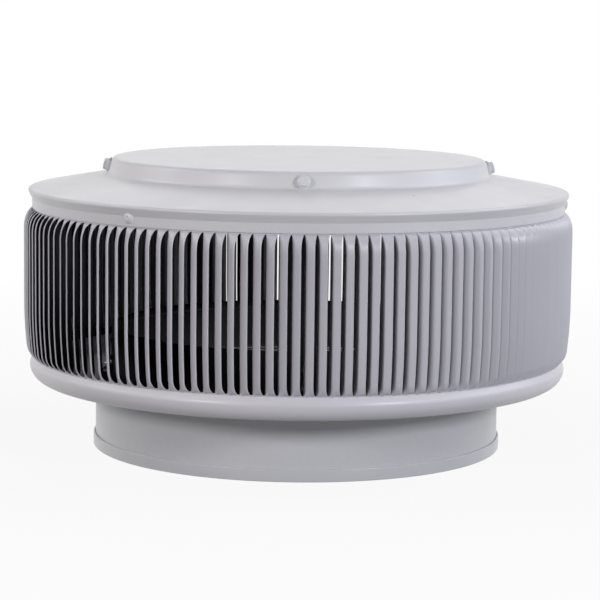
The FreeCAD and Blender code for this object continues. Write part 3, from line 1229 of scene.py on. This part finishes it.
@dataclass
class CrownScrews:
    """Hex washer-head screws through the crown wall, each on a sealing washer."""

    finish: Material
    seal_finish: Material
    count: int = 4
    first: float = 1.4
    turns: int = 48
    drop: float = 7.6 * MM
    draft: float = 14.0
    wall_radius: float = 152.2 * MM
    hex_width: float = 8.0 * MM
    hex_height: float = 4.2 * MM
    hex_root: float = 0.45 * MM
    chamfer: float = 30.0
    chamfer_share: float = 0.88
    arris: Point = (0.1 * MM, 0.12 * MM)
    flange_radius: float = 5.2 * MM
    flange_thickness: float = 1.0 * MM
    flange_edge: float = 0.3 * MM
    fillet: float = 0.25 * MM
    seal_radius: float = 6.2 * MM
    seal_thickness: float = 1.4 * MM
    seal_round: float = 0.45 * MM
    seal_bore: float = 2.5 * MM
    seal_segments: int = 36
    shank_radius: float = 2.4 * MM
    length: float = 12.0 * MM

    def head_section(self, degrees: float) -> list[Point]:
        """Outline of the screw at an angle round its own axis.

        Args:
            degrees: the angle.

        Returns:
            (radius, height) pairs from the tip to the top of the head.
        """
        sixth = math.pi / 3
        flat = self.hex_width / 2
        corner = flat / math.cos((math.radians(degrees) + sixth / 2) % sixth - sixth / 2)
        top = self.chamfer_share * flat
        fall = (corner - top) * math.tan(math.radians(self.chamfer))
        edge = self.flange_edge
        return [
            (0.0, -self.length),
            (self.shank_radius / 2, -self.length),
            (self.shank_radius, -self.length + self.shank_radius),
            (self.shank_radius, 0.0),
            (self.flange_radius - self.fillet, 0.0),
            (self.flange_radius, edge),
            (self.flange_radius, self.flange_thickness - edge),
            (self.flange_radius - edge, self.flange_thickness),
            (corner + self.fillet, self.flange_thickness + self.hex_root / 2),
            (corner, self.flange_thickness + self.hex_root),
            (corner, self.hex_height - fall - self.arris[1]),
            (corner - self.arris[0], self.hex_height - fall),
            (top, self.hex_height),
            (top - edge, self.hex_height),
            (0.0, self.hex_height),
        ]

    def screw_mesh(self, name: str) -> Mesh:
        """One screw along Z with its flange on the origin."""
        rings = [[polar(radius, turn, height) for radius, height in self.head_section(turn)]
                 for turn in round_copies(self.turns, 0.0)]
        return ring_mesh(name, rings, closed=False)

    def seal_section(self) -> list[Vector]:
        """Section of the squeezed washer, with a bulging rim.

        Returns:
            Points as (radius, height) vectors.
        """
        return rounded([
            Corner(self.seal_bore, self.seal_thickness / 2),
            Corner(self.seal_bore, 0.0),
            Corner(self.seal_radius, 0.0, self.seal_round),
            Corner(self.seal_radius, self.seal_thickness, self.seal_round),
            Corner(self.seal_bore, self.seal_thickness),
            Corner(self.seal_bore, self.seal_thickness / 2),
        ])[:-1]

    def build(self) -> None:
        """Make the screws and their washers."""
        level = NodeSpan.of("top_cap").high - self.drop
        tilt = math.radians(self.draft)
        for number, degrees in enumerate(round_copies(self.count, self.first), 1):
            seat = polar(self.wall_radius, degrees, level)
            ray = polar(math.cos(tilt), degrees, math.sin(tilt))
            screw = self.screw_mesh(f"crown_screw_{number}")
            seat_mesh(screw, seat + ray * self.seal_thickness, ray)
            add_piece(screw, [self.finish], "fastener_paint", "crown_screws")
            seal = spun_mesh(f"screw_seal_{number}", self.seal_section(), self.seal_segments)
            seat_mesh(seal, seat, ray)
            add_piece(seal, [self.seal_finish], "seal_rubber", "crown_screw_seals")


@dataclass
class SkirtRivets:
    """Domed blind rivets through the skirt, painted over."""

    finish: Material
    count: int = 3
    first: float = -35.6
    segments: int = 40
    rise: float = 6.2 * MM
    skirt_radius: float = 214.4 * MM
    head_radius: float = 4.75 * MM
    head_height: float = 2.09 * MM
    dome_steps: int = 10
    dome_share: float = 0.72
    pin_radius: float = 1.3 * MM
    pin_share: float = 0.8
    pin_depth: float = 0.35 * MM
    shank_radius: float = 2.4 * MM
    grip: float = 2.3 * MM
    tail_radius: float = 3.48 * MM
    tail_length: float = 1.8 * MM

    def section(self) -> list[Vector]:
        """Half outline of the rivet from its tail to its crown.

        Returns:
            (radius, height) points.
        """
        dome = (self.head_radius ** 2 + self.head_height ** 2) / (2 * self.head_height)
        reach = math.asin(self.head_radius / dome)
        tail = -self.grip - self.tail_length
        outline = [(0.0, tail), (self.shank_radius, tail), (self.tail_radius, -self.grip),
                   (self.shank_radius, -self.grip), (self.shank_radius, 0.0)]
        for step in range(self.dome_steps + 1):
            turn = reach * (1 - self.dome_share * step / self.dome_steps)
            outline.append((dome * math.sin(turn), self.head_height - dome * (1 - math.cos(turn))))
        hollow = self.head_height - self.pin_depth
        outline += [(self.pin_radius * self.pin_share, hollow), (0.0, hollow)]
        return [Vector(point) for point in outline]

    def build(self) -> None:
        """Make the rivets."""
        level = NodeSpan.of("top_cap").low + self.rise
        for number, degrees in enumerate(round_copies(self.count, self.first), 1):
            mesh = spun_mesh(f"skirt_rivet_{number}", self.section(), self.segments)
            seat_mesh(mesh, polar(self.skirt_radius, degrees, level), polar(1.0, degrees, 0.0))
            add_piece(mesh, [self.finish], "fastener_paint", "skirt_rivets")


@dataclass
class InnerFittings:
    """Small pieces that keep their frame solids: gasket, rivets and joint plates."""

    finishes: Finishes

    def build(self) -> None:
        """Dress each node."""
        dress_nodes(self.finishes.gasket, "flange_gasket")
        dress_nodes(self.finishes.rivet, "flange_rivets", "collar_seam_rivets")
        # joint plates and strap rivets: near-black metal that paints the shade inside the vent
        dress_nodes(self.finishes.painted_shade_metal, "ring_joint_plate_upper", "ring_joint_plate_lower",
                    "strap_rivets")


@dataclass(frozen=True)
class Lamp:
    """One square lamp that looks at the vent."""

    name: str
    size: float
    power: float
    colour: Colour
    place: Place
    target: Place = (0.0, 0.0, 0.12)

    def build(self) -> None:
        """Hang the lamp."""
        data = bpy.data.lights.new(self.name, "AREA")
        data.shape = "SQUARE"
        data.size = self.size
        data.energy = self.power
        data.color = self.colour
        lamp = put(self.name, data)
        lamp.location = self.place
        look = Vector(self.target) - Vector(self.place)
        lamp.rotation_euler = look.to_track_quat("-Z", "Y").to_euler()


@dataclass
class Studio:
    """Pale floor, white surroundings, soft lamps and the camera."""

    floor_size: float = 400.0
    floor_white: Colour = (0.8, 0.8, 0.8)
    floor_bounce: Colour = (0.26, 0.26, 0.26)
    shadow_share: float = 0.12
    shadow_reach: float = 1.2
    backdrop: Colour = (1.0, 1.0, 1.0)
    ambient: float = 0.03
    camera_side: float = 0.002
    camera_distance: float = 1.883
    camera_height: float = 0.365
    camera_pitch: float = 7.52
    camera_roll: float = 0.68
    lens: float = 140.0
    sensor: float = 36.0
    sight: float = 500.0
    lamps: tuple[Lamp, ...] = (
        Lamp("left_front_lamp", 0.5, 22.3, (1.02, 0.97, 1.01), (-1.7, -2.07, 1.0)),
        Lamp("right_front_lamp", 0.5, 27.8, (0.96, 0.98, 1.07), (1.64, -2.02, 1.0)),
        Lamp("back_lamp", 2.0, 9.0, (0.99, 0.98, 1.03), (0.0, 2.2, 1.8)),
        Lamp("left_lamp", 1.6, 19.5, (1.0, 0.99, 1.01), (-2.3, 0.3, 1.6)),
        Lamp("right_lamp", 1.6, 25.5, (0.98, 0.955, 1.07), (2.3, 0.3, 1.6)),
    )

    def build(self) -> None:
        """Set everything round the vent."""
        self.lay_floor()
        self.light_world()
        for lamp in self.lamps:
            lamp.build()
        self.stand_camera()
        bpy.context.scene.view_settings.view_transform = "Standard"

    def white_share(self, sheet: NodeSheet) -> NodeSocket:
        """Mask of the rays that see plain white: camera, glossy and transmission rays.

        Args:
            sheet: sheet of the floor or the world.

        Returns:
            1 for those rays and 0 for the others.
        """
        rays = sheet.add("LightPath").outputs
        seen = sheet.maths("MAXIMUM", rays["Is Camera Ray"], rays["Is Glossy Ray"])
        return sheet.maths("MAXIMUM", seen, rays["Is Transmission Ray"])

    def lay_floor(self) -> None:
        """Lay the floor, white to the camera but for the vent's shadow."""
        half = self.floor_size / 2
        corners = [(-half, -half, 0), (half, -half, 0), (half, half, 0), (-half, half, 0)]
        mesh = bpy.data.meshes.new("floor")
        mesh.from_pydata(corners, [], [range(len(corners))])
        floor = put("floor", mesh)
        material = bpy.data.materials.new("floor_white")
        material.use_nodes = True
        nodes = material.node_tree.nodes
        nodes.remove(nodes["Principled BSDF"])
        sheet = NodeSheet(material.node_tree)
        seen = self.white_share(sheet)
        colour = sheet.blend(seen, opaque(self.floor_bounce), opaque(self.floor_white))
        matt = sheet.add("BsdfDiffuse", {"Color": colour})
        white = sheet.add("Emission", {"Strength": 1.0})
        place = sheet.add("NewGeometry").outputs["Position"]
        distance = sheet.add("VectorMath", {0: place}, operation="LENGTH").outputs["Value"]
        clear = sheet.ramp(distance, 0.0, self.shadow_reach, 1.0 - self.shadow_share, 1.0)
        share = sheet.maths("MULTIPLY", seen, clear)
        mix = sheet.add("MixShader", {0: share, 1: matt.outputs[0], 2: white.outputs[0]})
        sheet.feed(nodes["Material Output"].inputs["Surface"], mix.outputs[0])
        mesh.materials.append(material)

    def light_world(self) -> None:
        """White surroundings to the eye, a plain ambient level for the rest."""
        world = bpy.data.worlds.new("studio")
        world.use_nodes = True
        sheet = NodeSheet(world.node_tree)
        inputs = world.node_tree.nodes["Background"].inputs
        sheet.feed(inputs["Color"], opaque(self.backdrop))
        seen = self.white_share(sheet)
        sheet.feed(inputs["Strength"], sheet.ramp(seen, 0.0, 1.0, self.ambient, 1.0))
        bpy.context.scene.world = world

    def stand_camera(self) -> None:
        """Stand the camera where the photograph was taken."""
        data = bpy.data.cameras.new("camera")
        data.lens = self.lens
        data.sensor_width = self.sensor
        data.clip_end = self.sight
        camera = put("camera", data)
        place = Matrix.Translation((self.camera_side, -self.camera_distance, self.camera_height))
        tilt = Matrix.Rotation(math.radians(90.0 - self.camera_pitch), 4, "X")
        roll = Matrix.Rotation(math.radians(self.camera_roll), 4, "Z")
        camera.matrix_world = place @ tilt @ roll
        bpy.context.scene.camera = camera


def main() -> None:
    """Build the vent from the crown down, then the studio."""
    logging.basicConfig(level=logging.INFO, format="%(name)s: %(message)s")
    finishes = Finishes()
    TopCap(finishes.cap).build()
    CrownScrews(finishes.fastener, finishes.seal).build()
    SkirtRivets(finishes.fastener).build()
    LouvreHoop(finishes.louvre, finishes.painted_shade_metal).build()
    BottomPan(finishes.pan).build()
    Throat(finishes.painted_shade_metal).build()
    AdapterCollar(finishes.collar).build()
    InnerFittings(finishes).build()
    Studio().build()


if __name__ == "__main__":
    main()
